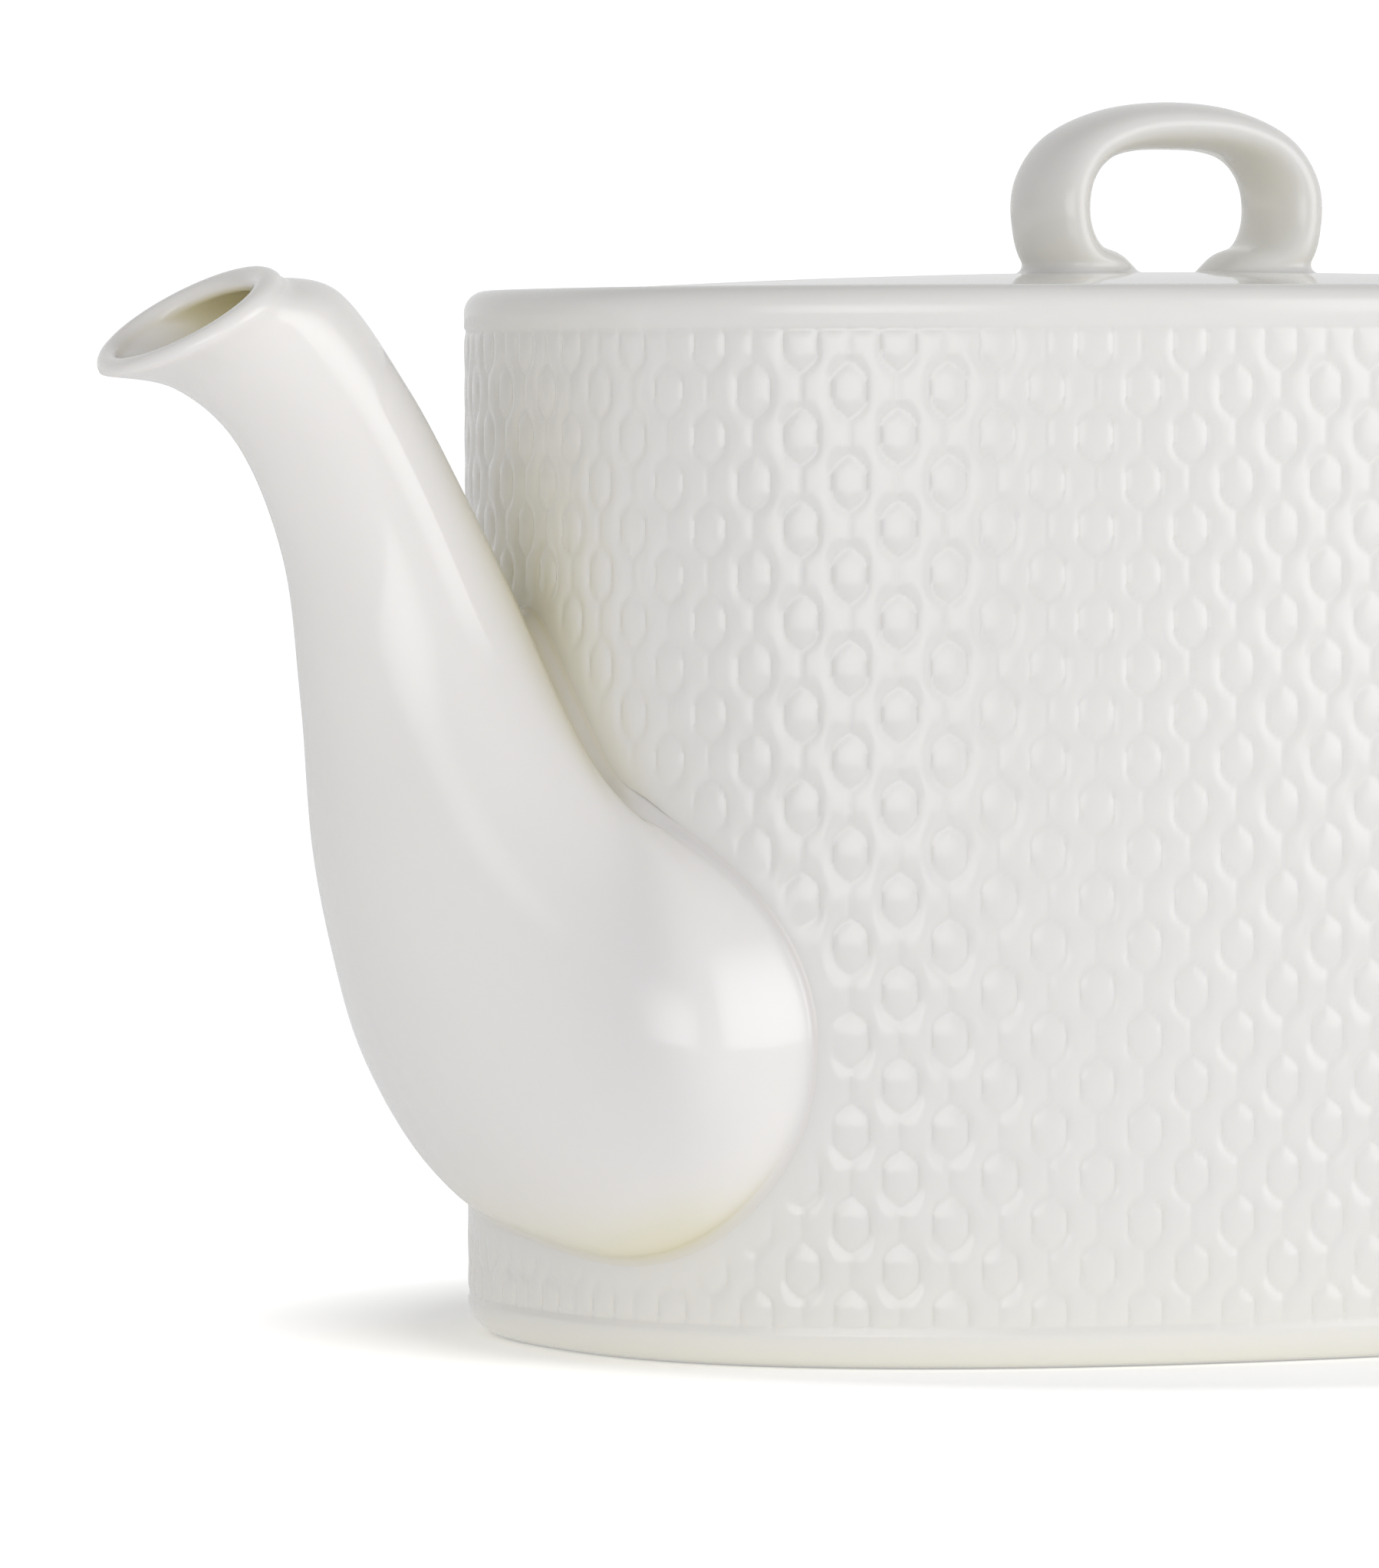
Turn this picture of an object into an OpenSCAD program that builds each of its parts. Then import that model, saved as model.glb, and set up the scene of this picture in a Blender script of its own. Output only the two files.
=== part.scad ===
// Oval bone-china teapot with a drop-in leaf infuser.
// X runs from the spout (-X) to the handle (+X), Z is up, and the origin is
// the centre of the plane the foot rests on. All sizes are in millimetres.

/* [Pot] */
// Half the length of the oval body
half_length = 72; // [66:1:78]
// Half the width of the oval body
half_width = 50.5; // [47:0.5:54]
// Power of the plan curve, where 2 is an ellipse and more is squarer
plan_power = 2.5; // [2.2:0.1:2.8]
// Height of the rim above the table
body_height = 104.7; // [102:0.1:108]
// Thickness of the china wall
wall = 3.5; // [3:0.1:4]
// Radius of the rounded edge at the foot
foot_round = 3.6; // [2:0.2:4]
// Radius of the rounded edge at the rim
rim_round = 2.2; // [1.5:0.1:2.6]
// Depth of the shelf that the infuser and the lid rest on
shelf_depth = 4.5; // [4:0.1:5]

/* [Lid] */
// Height of the lid's middle above the pot's rim
lid_crown = 1.7; // [1:0.1:3]
// Thickness of the lid
lid_thick = 3.2; // [2.8:0.1:3.4]
// Depth of the locating skirt under the lid
skirt_depth = 9; // [6:0.5:9.5]
// Radius of the steam vent
vent_r = 1.5; // [1:0.1:2]

/* [Spout] */
// Thickness of the spout's wall
spout_wall = 2.6; // [2:0.1:3]
// Radius of one strainer hole in the pot wall behind the spout
strainer_r = 2; // [1.5:0.1:2.4]

/* [Infuser] */
// Thickness of the stainless sheet
sheet = 0.6; // [0.5:0.05:0.7]
// Height of the underside of the basket above the table
basket_floor = 30; // [26:1:40]
// Height of the plain collar under the flange
collar_height = 17; // [16:0.5:18]
// Inward lean of the basket wall from the collar to the floor
basket_taper = 2.8; // [2.4:0.1:4]
// Radius of the grip wire
wire_r = 0.9; // [0.8:0.05:1]
// Reach of a grip from its hinge to the end of the loop
grip_reach = 15; // [12:0.5:16]
// Width of a grip between wire centres
grip_width = 18; // [14:0.5:18]

/* [Hidden] */

facets = 64;              // points round each oval
joint_gap = 0.05;         // air gap that keeps luted china pieces apart
china = "ivory";
steel = "silver";

foot_inset = 4.2;         // rounded edge to the flat of the foot
foot_width = 3;           // flat of the foot ring
foot_hollow = 2.2;        // recess under the floor, inside the foot ring
floor_thick = 3.8;
floor_round = 7;
rim_land = 5.3;           // rim width from the outer wall to the lid recess
shelf_width = 3.7;
shelf_thick = 2.4;
shelf_z = body_height - shelf_depth;
throat = rim_land + shelf_width;

play = 0.6;               // clearance round the lid and the infuser
flange_thick = 0.8;
flange_top = shelf_z + flange_thick;
collar_out = throat + play;
collar_in = collar_out + sheet;
collar_bottom = flange_top - collar_height;
lid_edge = rim_land + play;
lid_edge_z = body_height - 0.3;
skirt_out = collar_in + 1;
skirt_thick = 2.8;
skirt_bottom = flange_top - skirt_depth;

wall_lap = 2.5;           // how far the basket wall goes up inside the collar
basket_top_inset = collar_in + joint_gap;
basket_low_inset = basket_top_inset + basket_taper;
ring_height = 4;
ring_lip = 3;
seam_width = 6;

hinge_x = half_length - collar_in - 4;
hinge_z = skirt_bottom - 3.5;
hinge_clear = 0.1;
lug_width = 10;
lug_strip = 0.6;
lug_gap = 0.25;           // air gap between the lug's leaf and the collar
grip_bend = 3.5;

strainer_z = 33;
strainer_pitch = 7.5;
drill = 6;                // how far a drill runs past each side of a wall
vent_x = -26;
skirt_round = 0.7;

// ---- curves -----------------------------------------------------------

// Closed oval with semi-axes a and b.
function oval(a, b, power = plan_power) = [for (i = [0 : facets - 1])
    let (t = 360 * i / facets, c = cos(t), s = sin(t))
    [a * sign(c) * pow(abs(c), 2 / power), b * sign(s) * pow(abs(s), 2 / power)]];

// Pot plan moved inwards by inset, as a ring of points at height z.
function plan(inset) = oval(half_length - inset, half_width - inset);
function ring(inset, z) = [for (p = plan(inset)) [p.x, p.y, z]];

// Lid plan shrunk about its centre to the share k, at height z.
function lid_ring(k, z) =
    [for (p = oval(k * (half_length - lid_edge), k * (half_width - lid_edge))) [p.x, p.y, z]];

// Quarter round from angle a0 to a1, as [inset, z] pairs.
function round_edge(inset, z, r, a0, a1, steps = 4) = [for (i = [0 : steps])
    let (a = a0 + (a1 - a0) * i / steps) [inset - r * cos(a), z + r * sin(a)]];

// Smooth curve through the rows of a table, at place u in row units.
function row(table, i) = table[max(0, min(len(table) - 1, i))];
function between(table, u) =
    let (i = min(floor(u), len(table) - 2), f = u - i,
         a = row(table, i - 1), b = row(table, i), c = row(table, i + 1), d = row(table, i + 2))
    b + f * (c - a) / 2 + f * f * (a - 2.5 * b + 2 * c - 0.5 * d)
      + f * f * f * (1.5 * (b - c) + (d - a) / 2);

// One cross-section of a swept form. A station is [outer x, outer z, inner x,
// inner z, half width, power, roll]: the section spans the outer and inner
// outlines, is squarer with more power, and rises sideways by its roll.
function section(s, shrink, points) =
    let (middle = [(s[0] + s[2]) / 2, (s[1] + s[3]) / 2],
         half = [(s[2] - s[0]) / 2, (s[3] - s[1]) / 2],
         keep = (norm(half) - shrink) / norm(half), w = s[4] - shrink)
    [for (i = [0 : points - 1])
        let (c = cos(360 * i / points), e = sin(360 * i / points),
             reach = pow(pow(abs(c), s[5]) + pow(abs(e), s[5]), -1 / s[5]),
             along = keep * reach * c, y = w * reach * e)
        [middle.x + along * half.x, y, middle.y + along * half.y + s[6] * y]];

function sections(table, steps, shrink, points) = [for (i = [0 : steps])
    section(between(table, i * (len(table) - 1) / steps), shrink, points)];

function reversed(list) = [for (i = [len(list) - 1 : -1 : 0]) list[i]];

// ---- solids from rings ------------------------------------------------

function side_faces(first, second, n) = [for (j = [0 : n - 1]) let (k = (j + 1) % n)
    each [[first + j, second + j, second + k], [first + j, second + k, first + k]]];

// Solid through a list of rings, with a flat cap at each end.
module capped(rings) {
    n = len(rings[0]);
    last = len(rings) - 1;
    sides = [for (i = [0 : last - 1]) each side_faces(i * n, (i + 1) * n, n)];
    low_cap = [for (j = [0 : n - 1]) j];
    high_cap = [for (j = [n - 1 : -1 : 0]) last * n + j];
    polyhedron([for (r = rings) each r], concat([low_cap], sides, [high_cap]));
}

// Solid through a list of rings whose last ring joins its first.
module looped(rings) {
    n = len(rings[0]);
    count = len(rings);
    polyhedron([for (r = rings) each r],
               [for (i = [0 : count - 1]) each side_faces(i * n, ((i + 1) % count) * n, n)]);
}

// Flat oval band between two insets.
module band(outer, inner, z, height) {
    translate([0, 0, z])
        linear_extrude(height)
            difference() {
                polygon(plan(outer));
                polygon(plan(inner));
            }
}

// Oval plate of sheet, inset from the pot's outline.
module plate(inset, z) {
    translate([0, 0, z])
        linear_extrude(sheet)
            polygon(plan(inset));
}

// ---- forms ------------------------------------------------------------

pot_profile = concat(
    [[foot_inset + foot_width + 2, foot_hollow], [foot_inset + foot_width + 0.8, foot_hollow],
     [foot_inset + foot_width, 0]],
    round_edge(foot_round, foot_round, foot_round, -90, 0),
    round_edge(rim_round, body_height - rim_round, rim_round, 0, 90),
    [[rim_land - 0.4, body_height], [rim_land, body_height - 0.4], [rim_land, shelf_z],
     [throat, shelf_z], [throat, shelf_z - shelf_thick], [wall, shelf_z - shelf_thick - 6]],
    [for (a = [0 : 30 : 90])
        [wall + floor_round * (1 - cos(a)), foot_hollow + floor_thick + floor_round * (1 - sin(a))]]);

// Outer shape of the pot without its hollow, grown by gap.
module pot_block(gap) {
    capped([ring(foot_round - gap, 0), ring(-gap, foot_round), ring(-gap, body_height - rim_round),
            ring(rim_round - gap, body_height)]);
}

// Spout, from inside the pot wall to the mouth. Its luted base leans a little.
spout_stations = [
    [-62.5, 11, -50.1, 52.3, 34.1, 2.24, 0.1], [-71.5, 11.1, -63.4, 55.8, 38.8, 2.55, 0.1],
    [-78.2, 19, -70, 58.3, 36.3, 2.36, 0.09], [-85.6, 31, -70.7, 60.1, 28, 2.1, 0.05],
    [-91.6, 46.3, -72.3, 66.6, 19.3, 2.1, 0.02], [-94.7, 63.4, -74.7, 74.8, 13.3, 2, 0],
    [-96.9, 77.7, -79.8, 84.8, 10.6, 2, 0], [-101.8, 89, -85.6, 95, 9.6, 2, 0],
    [-108.5, 95.3, -92.8, 103.2, 9.8, 2, 0], [-117, 97.2, -99.6, 105.8, 11.6, 2, 0]];

// Handle, from the upper joint round to the lower joint.
handle_power = 2.3;
handle_stations = [for (s = [
    [60, 99, 60, 79, 11], [74, 98, 73, 80.5, 9.6], [88, 97.5, 84.5, 86, 8],
    [103, 93.5, 96, 85, 7.4], [113, 83.5, 103.5, 79, 7.4], [117, 69, 107, 68.5, 7.4],
    [114, 54.5, 104.5, 58, 7.4], [105, 41.5, 97.5, 48.5, 7.4], [91.5, 31.5, 86.5, 40.5, 8],
    [75.5, 22.5, 74.5, 36.5, 9.4], [60, 17, 60, 38, 11]]) concat(s, [handle_power, 0])];

// Half of the lid knob, from the toe on the lid to the top of the loop.
knob_stations = [
    [4.2, -1, 4, 0.3, 2.6], [9, -1.4, 6.6, 1.9, 5.4], [14.4, 0.2, 9.2, 3, 6.4],
    [16, 5, 10.5, 5.4, 6.5], [15.6, 9.6, 10.1, 8.9, 6.4], [12.6, 13.8, 8, 11.2, 6.2],
    [7, 16.4, 4.4, 12.2, 6], [0, 17.2, 0, 12.4, 6]];
lid_top = body_height + lid_crown;
knob_power = 2.2;
function knob_row(s, side) =
    [side * s[0], s[1] + lid_top, side * s[2], s[3] + lid_top, s[4], knob_power, 0];
knob_loop = concat(
    [for (s = knob_stations) knob_row(s, 1)],
    [for (i = [len(knob_stations) - 2 : -1 : 0]) knob_row(knob_stations[i], -1)]);

// Height of the lid's top surface at the share k of the lid plan.
function lid_z(k) = lid_edge_z + (lid_top - lid_edge_z) * (1 - pow(k, 2));

// ---- china ------------------------------------------------------------

module pot_body() {
    color(china)
        difference() {
            capped([for (p = pot_profile) ring(p[0], p[1])]);
            for (column = [-2 : 2])
                for (level = [-1 : 1])
                    translate([-half_length - drill, column * strainer_pitch,
                               strainer_z + (level + abs(column) % 2 / 2) * strainer_pitch])
                        rotate([0, 90, 0])
                            cylinder(r = strainer_r, h = wall + 2 * drill, $fn = 32);
        }
}

module spout() {
    outside = sections(spout_stations, 27, 0, 32);
    inside = sections(spout_stations, 27, spout_wall, 32);
    color(china)
        difference() {
            looped(concat(outside, reversed(inside)));
            pot_block(joint_gap);
        }
}

module handle() {
    color(china)
        difference() {
            capped(sections(handle_stations, 30, 0, 24));
            pot_block(joint_gap);
        }
}

module lid() {
    shares = [1, 0.94, 0.8, 0.6, 0.4, 0.2, 0.06];
    skirt_in = skirt_out + skirt_thick;
    in_share = (half_length - skirt_in) / (half_length - lid_edge);
    under = [for (k = [0.06, 0.4, 0.7, in_share - 0.02]) lid_ring(k, lid_z(k) - lid_thick)];
    skirt = [ring(skirt_in, flange_top - 0.5), ring(skirt_in, skirt_bottom + skirt_round),
             ring(skirt_in - skirt_round, skirt_bottom), ring(skirt_out + skirt_round, skirt_bottom),
             ring(skirt_out, skirt_bottom + skirt_round), ring(skirt_out, flange_top + joint_gap),
             ring(lid_edge, flange_top + joint_gap), ring(lid_edge, lid_edge_z - 0.8)];
    top = [for (k = shares) lid_ring(k - (k == 1 ? 0.01 : 0), lid_z(k))];
    color(china)
        difference() {
            capped(concat(under, skirt, top));
            translate([vent_x, 0, flange_top - drill])
                cylinder(r = vent_r, h = lid_thick + 3 * drill, $fn = 32);
        }
}

module lid_knob() {
    color(china)
        difference() {
            capped(sections(knob_loop, 42, 0, 20));
            capped([lid_ring(0.6, lid_top - 2 * drill),
                    for (k = [0.6, 0.4, 0.2, 0.06]) lid_ring(k, lid_z(k) + joint_gap)]);
        }
}

// ---- infuser ----------------------------------------------------------

module infuser_collar() {
    color(steel) {
        band(lid_edge, collar_in, shelf_z, flange_thick);
        band(collar_out, collar_in, collar_bottom, flange_top - collar_bottom);
    }
}

// Basket wall between two insets from its outer face.
module basket_shell(outer, inner, low, high) {
    fall = flange_top - collar_height + wall_lap - basket_floor;
    function lean(z) = basket_top_inset
        + basket_taper * (collar_bottom + wall_lap - z) / fall;
    looped([ring(lean(low) + outer, low), ring(lean(high) + outer, high),
            ring(lean(high) + inner, high), ring(lean(low) + inner, low)]);
}

module infuser_wall() {
    color(steel)
        basket_shell(0, sheet, basket_floor + sheet + joint_gap, collar_bottom + wall_lap);
}

module infuser_seam() {
    color(steel)
        intersection() {
            basket_shell(-sheet - joint_gap, -joint_gap, basket_floor + ring_height + 1,
                         collar_bottom - 1);
            translate([half_length - 30, -seam_width / 2, 0])
                cube([30, seam_width, body_height]);
        }
}

module infuser_base_ring() {
    outer = basket_low_inset - sheet - joint_gap;
    color(steel) {
        band(outer, outer + sheet + joint_gap + ring_lip, basket_floor, sheet);
        band(outer, outer + sheet - 3 * joint_gap, basket_floor, ring_height);
    }
}

module infuser_base() {
    color(steel)
        plate(basket_low_inset + sheet + 2 * joint_gap, basket_floor + sheet + joint_gap);
}

// Strip lug at the -X end: a welded leaf and a knuckle round the hinge wire.
module lug() {
    leaf_x = half_length - collar_in - lug_gap;
    leaf_bottom = collar_bottom + wall_lap + lug_gap;
    knuckle_r = wire_r + hinge_clear;
    color(steel)
        translate([0, -lug_width / 2, 0])
            difference() {
                union() {
                    translate([-leaf_x, 0, leaf_bottom])
                        cube([lug_strip, lug_width, hinge_z + knuckle_r + lug_strip - leaf_bottom]);
                    translate([-leaf_x, 0, hinge_z + knuckle_r])
                        cube([leaf_x - hinge_x, lug_width, lug_strip]);
                    translate([-hinge_x, 0, hinge_z])
                        rotate([-90, 0, 0])
                            cylinder(r = knuckle_r + lug_strip, h = lug_width, $fn = 48);
                }
                translate([-hinge_x, -1, hinge_z])
                    rotate([-90, 0, 0])
                        cylinder(r = knuckle_r, h = lug_width + 2, $fn = 48);
            }
}

// Wire loop at the -X end, hanging down from its hinge.
module grip() {
    side = grip_width / 2;
    straight_y = grip_width - 2 * grip_bend;
    straight_z = grip_reach - 2 * grip_bend;
    color(steel)
        translate([-hinge_x, 0, hinge_z])
            rotate([0, 90, 0]) {
                for (x = [0, grip_reach])
                    translate([x, -straight_y / 2, 0])
                        rotate([-90, 0, 0])
                            cylinder(r = wire_r, h = straight_y, $fn = 32);
                for (y = [-side, side])
                    translate([grip_bend, y, 0])
                        rotate([0, 90, 0])
                            cylinder(r = wire_r, h = straight_z, $fn = 32);
                corner(grip_reach - grip_bend, side - grip_bend, 0);
                corner(grip_bend, side - grip_bend, 90);
                corner(grip_bend, grip_bend - side, 180);
                corner(grip_reach - grip_bend, grip_bend - side, 270);
            }
}

// Quarter bend of the wire about the point x, y.
module corner(x, y, turn) {
    translate([x, y, 0])
        rotate([0, 0, turn])
            rotate_extrude(angle = 90, $fn = 48)
                translate([grip_bend, 0])
                    circle(r = wire_r, $fn = 32);
}

module spout_side_lug() {
    lug();
}

module handle_side_lug() {
    mirror([1, 0, 0])
        lug();
}

module spout_side_grip() {
    grip();
}

module handle_side_grip() {
    mirror([1, 0, 0])
        grip();
}

pot_body();
spout();
handle();
lid();
lid_knob();
infuser_collar();
infuser_wall();
infuser_seam();
infuser_base_ring();
infuser_base();
spout_side_lug();
handle_side_lug();
spout_side_grip();
handle_side_grip();
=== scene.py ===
"""Looks for the oval china teapot with a drop-in leaf infuser.

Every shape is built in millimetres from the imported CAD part's own sizes and
turned into metres when its mesh is made. X runs from the spout to the handle.
"""
import math

import bpy
import numpy as np
from mathutils import Matrix, Vector
from mathutils.geometry import delaunay_2d_cdt


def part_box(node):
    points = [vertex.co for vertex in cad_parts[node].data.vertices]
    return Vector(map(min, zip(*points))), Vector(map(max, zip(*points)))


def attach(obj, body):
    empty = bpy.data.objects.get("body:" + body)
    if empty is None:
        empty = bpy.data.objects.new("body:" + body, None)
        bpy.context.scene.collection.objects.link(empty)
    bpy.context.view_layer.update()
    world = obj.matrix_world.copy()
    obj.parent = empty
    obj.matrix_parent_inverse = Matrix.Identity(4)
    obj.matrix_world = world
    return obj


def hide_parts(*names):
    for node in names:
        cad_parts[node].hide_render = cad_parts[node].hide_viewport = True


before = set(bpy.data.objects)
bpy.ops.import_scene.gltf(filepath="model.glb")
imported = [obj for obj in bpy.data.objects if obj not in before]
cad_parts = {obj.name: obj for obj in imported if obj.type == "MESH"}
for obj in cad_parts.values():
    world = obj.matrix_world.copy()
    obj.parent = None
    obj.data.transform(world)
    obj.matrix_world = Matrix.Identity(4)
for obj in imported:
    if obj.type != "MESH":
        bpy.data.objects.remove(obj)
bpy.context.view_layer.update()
MM = 0.001


# ---- sizes, from the frame where it holds them ---------------------------

def box_mm(node):
    low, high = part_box(node)
    return np.array(low) / MM, np.array(high) / MM


HALF_LENGTH, HALF_WIDTH, BODY_HEIGHT = box_mm("pot_body")[1]
LID_LOW, LID_HIGH = box_mm("lid")
COLLAR_LOW, COLLAR_HIGH = box_mm("infuser_collar")
RING_LOW, RING_HIGH = box_mm("infuser_base_ring")
SEAM_LOW, SEAM_HIGH = box_mm("infuser_seam")
BASE_LOW, BASE_HIGH = box_mm("infuser_base")
LUG_LOW, LUG_HIGH = box_mm("spout_side_lug")
GRIP_LOW, GRIP_HIGH = box_mm("spout_side_grip")

PLAN_POWER = 2.5
WALL = 3.5
FOOT_ROUND = 3.6
FOOT_HOLLOW = 2.2
RIM_ROUND = 2.2
RIM_LAND = 5.3
THROAT = 9.0
FLOOR_THICK = 3.8
FLANGE_THICK = 0.8
SHELF_Z = COLLAR_HIGH[2] - FLANGE_THICK
SHELF_THICK = 2.4
SHEET = 0.6
COLLAR_OUT = THROAT + 0.6
COLLAR_IN = COLLAR_OUT + SHEET
BASKET_TOP = COLLAR_LOW[2] + 2.5         # the basket wall is tucked this far up behind the collar
BASKET_INSET, BASKET_TAPER = COLLAR_IN + 0.05, 2.8
WIRE_R = 0.9
HOLE_R, HOLE_PITCH = 0.62, 2.4
HOLE_ROW = 0.866                         # step between rows of holes, as a share of the pitch
LID_EDGE = HALF_LENGTH - LID_HIGH[0]
LID_TOP = LID_HIGH[2]
LID_EDGE_Z = BODY_HEIGHT - 0.3
LID_THICK = 3.2

PLAN_STEPS = 240             # points round the lid and the steel rings
WALL_STEPS = 240             # rings up the embossed wall
COLUMNS = 84                 # bud columns round the pot
ROW_TOP = 99.0               # height of the first row of buds
ROW_PITCH = 4.464
COLUMN_AT = -43.5            # arc length of one bud column from the front middle
PATTERN_LOW, PATTERN_HIGH = 4.1, 100.5
RELIEF = 0.24                # depth of the grooves
STRAINER_R, STRAINER_PITCH, STRAINER_Z = 2.0, 7.5, 33.0
VENT_X, VENT_R = -26.0, 1.5
BUD_HALF, BUD_TIP = 1.74, 2.85
BUD_LEAN = 0.76              # fall of a bud's pointed ends
GROOVE_ROUND, GROOVE_REACH, GROOVE_SHARE = 0.06, 0.24, 0.68
SEAM_SHALLOW = 0.14          # keeps the seams between buds shallower than the grooves
EDGE_FADE = 0.5              # height over which the emboss fades at its upper and lower edge
JOINT_PLAIN, JOINT_FADE = 0.4, 3.2       # plain strip round a joint, and the width of the fade beyond it
SPOUT_FILLET, HANDLE_FILLET, KNOB_FILLET = 1.1, 1.8, 0.9
COLUMN_STEPS = (0, 0.38, 0.95, 1.42, 1.72, 2.02, 2.4, 2.78, 3.08, 3.38, 3.85, 4.42)


# ---- mesh helpers ---------------------------------------------------------

def turned_out(points, faces):
    """Faces with their normals outward."""
    volume = 0.0
    for size in {len(f) for f in faces}:
        corners = points[np.array([f for f in faces if len(f) == size])]
        for k in range(1, size - 1):
            volume += np.einsum("ij,ij->", corners[:, 0], np.cross(corners[:, k], corners[:, k + 1]))
    return faces if volume > 0 else [f[::-1] for f in faces]


def make_piece(name, points, faces, body, node, slot, material, smooth=True):
    """Mesh object from points in mm and index faces, riding on a CAD body in place of a node."""
    mesh = filled_mesh(name, points, faces, smooth)
    return place(bpy.data.objects.new(name, mesh), body, node, material)


def filled_mesh(name, points, faces, smooth=True):
    mesh = bpy.data.meshes.new(name)
    points = np.asarray(points, float) * MM
    faces = turned_out(points, faces)
    counts = np.array([len(f) for f in faces])
    corners = np.fromiter((i for f in faces for i in f), int, counts.sum())
    mesh.vertices.add(len(points))
    mesh.vertices.foreach_set("co", points.ravel())
    mesh.loops.add(len(corners))
    mesh.loops.foreach_set("vertex_index", corners.astype(np.int32))
    mesh.polygons.add(len(counts))
    starts = np.concatenate([[0], np.cumsum(counts)[:-1]])
    mesh.polygons.foreach_set("loop_start", starts.astype(np.int32))
    mesh.polygons.foreach_set("loop_total", counts.astype(np.int32))
    mesh.polygons.foreach_set("use_smooth", np.full(len(counts), smooth))
    mesh.update(calc_edges=True)
    mesh.validate()
    return mesh


def place(piece, body, node, material):
    bpy.context.scene.collection.objects.link(piece)
    piece.data.materials.clear()
    piece.data.materials.append(material)
    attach(piece, body)
    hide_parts(node)
    return piece


DRILL_SIDES = 32


def drill(piece, places, axis, r, depth):
    """Round holes through a piece, at places in mm, each running a depth to both sides of its place."""
    rods = []
    for place_at in places:
        rings = []
        for end in (-depth, depth):
            for a in np.arange(DRILL_SIDES) * 2 * np.pi / DRILL_SIDES:
                across = (math.cos(a) * r, math.sin(a) * r)
                rings.append((end, *across) if axis == 0 else (*across, end))
        rods.append(skin(np.array(rings).reshape(2, DRILL_SIDES, 3) + place_at))
    cutter = filled_mesh("drill", *merge(*rods))
    rod = bpy.data.objects.new("drill", cutter)
    bpy.context.scene.collection.objects.link(rod)
    cut = piece.modifiers.new("holes", "BOOLEAN")
    cut.operation, cut.solver, cut.object = "DIFFERENCE", "MANIFOLD", rod
    bpy.context.view_layer.update()
    holed = bpy.data.meshes.new_from_object(piece.evaluated_get(bpy.context.evaluated_depsgraph_get()))
    piece.modifiers.clear()
    holed.set_sharp_from_angle(angle=math.radians(40))
    piece.data = holed
    bpy.data.objects.remove(rod)
    bpy.data.meshes.remove(cutter)


def skin(rings, loop=False, caps=True):
    """Points and faces of a surface through equal rings, which turn anticlockwise about the way they run."""
    rings = np.asarray(rings, float)
    count, n = rings.shape[:2]
    first = np.arange(count if loop else count - 1)[:, None] * n
    second = np.roll(np.arange(count), -1)[: len(first), None] * n
    j = np.arange(n)[None]
    k = (j + 1) % n
    quads = np.stack([first + j, first + k, second + k, second + j], -1).reshape(-1, 4)
    faces = [tuple(q) for q in quads]
    points = rings.reshape(-1, 3)
    if caps and not loop:
        points, faces = add_caps(points, faces, n)
    return points, faces


def add_caps(points, faces, n):
    """Closes both ends of a skin with a fan from the first and from the last n points to their middle."""
    for start, flip in ((0, True), (len(points) - n, False)):
        middle = points[start:start + n].mean(0)
        points = np.vstack([points, middle])
        hub = len(points) - 1
        for j in range(n):
            a, b = start + j, start + (j + 1) % n
            faces.append((b, a, hub) if flip else (a, b, hub))
    return points, faces


def merge(*parts):
    """One points and faces pair from several."""
    points, faces, base = [], [], 0
    for p, f in parts:
        points.append(np.asarray(p, float))
        faces.extend(tuple(i + base for i in face) for face in f)
        base += len(p)
    return np.vstack(points), faces


def smoothstep(x):
    x = np.clip(x, 0, 1)
    return x * x * (3 - 2 * x)


# ---- the oval plan --------------------------------------------------------

def plan_at(count, offsets=None):
    """Points of the plan from the front middle towards +X, for unit semi-axes, with their arc lengths.

    They stand at equal steps, or at the given offsets from every bud column.
    """
    t = np.linspace(0, 2 * np.pi, 80001)
    power = 2 / PLAN_POWER
    x = np.sign(np.sin(t)) * np.abs(np.sin(t)) ** power
    y = -np.sign(np.cos(t)) * np.abs(np.cos(t)) ** power
    step = np.hypot(np.diff(x) * HALF_LENGTH, np.diff(y) * HALF_WIDTH)
    length = np.concatenate([[0], np.cumsum(step)])
    at = np.arange(count) / count * length[-1]
    if offsets is not None:
        at = np.sort((COLUMN_AT + np.add.outer(at, offsets).ravel()) % length[-1])
    return np.interp(at, length, x), np.interp(at, length, y), at, length[-1]


def plan_ring(plan, inset, z):
    x, y = plan[0], plan[1]
    return np.stack([(HALF_LENGTH - inset) * x, (HALF_WIDTH - inset) * y, z + 0 * x], -1)


def plan_skin(profile, count, loop=False):
    """Surface of a profile of (inset, z) pairs swept round the oval."""
    plan = plan_at(count)
    return skin([plan_ring(plan, inset, z) for inset, z in profile], loop=loop)


def quarter(inset, z, r, a0, a1, steps=6):
    """Round edge as (inset, z) pairs, from angle a0 to a1 in degrees."""
    angles = np.radians(np.linspace(a0, a1, steps + 1))
    return [(inset - r * math.cos(a), z + r * math.sin(a)) for a in angles]


def arc_length_at(points, perimeter):
    """Arc length from the front middle, between minus and plus half the perimeter."""
    x, y, at, _ = plan_at(4000)
    turn = np.unwrap(np.arctan2(x, -y))
    angle = np.arctan2(points[:, 0] / HALF_LENGTH, -points[:, 1] / HALF_WIDTH) % (2 * np.pi)
    s = np.interp(angle, turn, at)
    return np.where(s > perimeter / 2, s - perimeter, s)


# ---- surfaces that a swept form joins --------------------------------------

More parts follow.
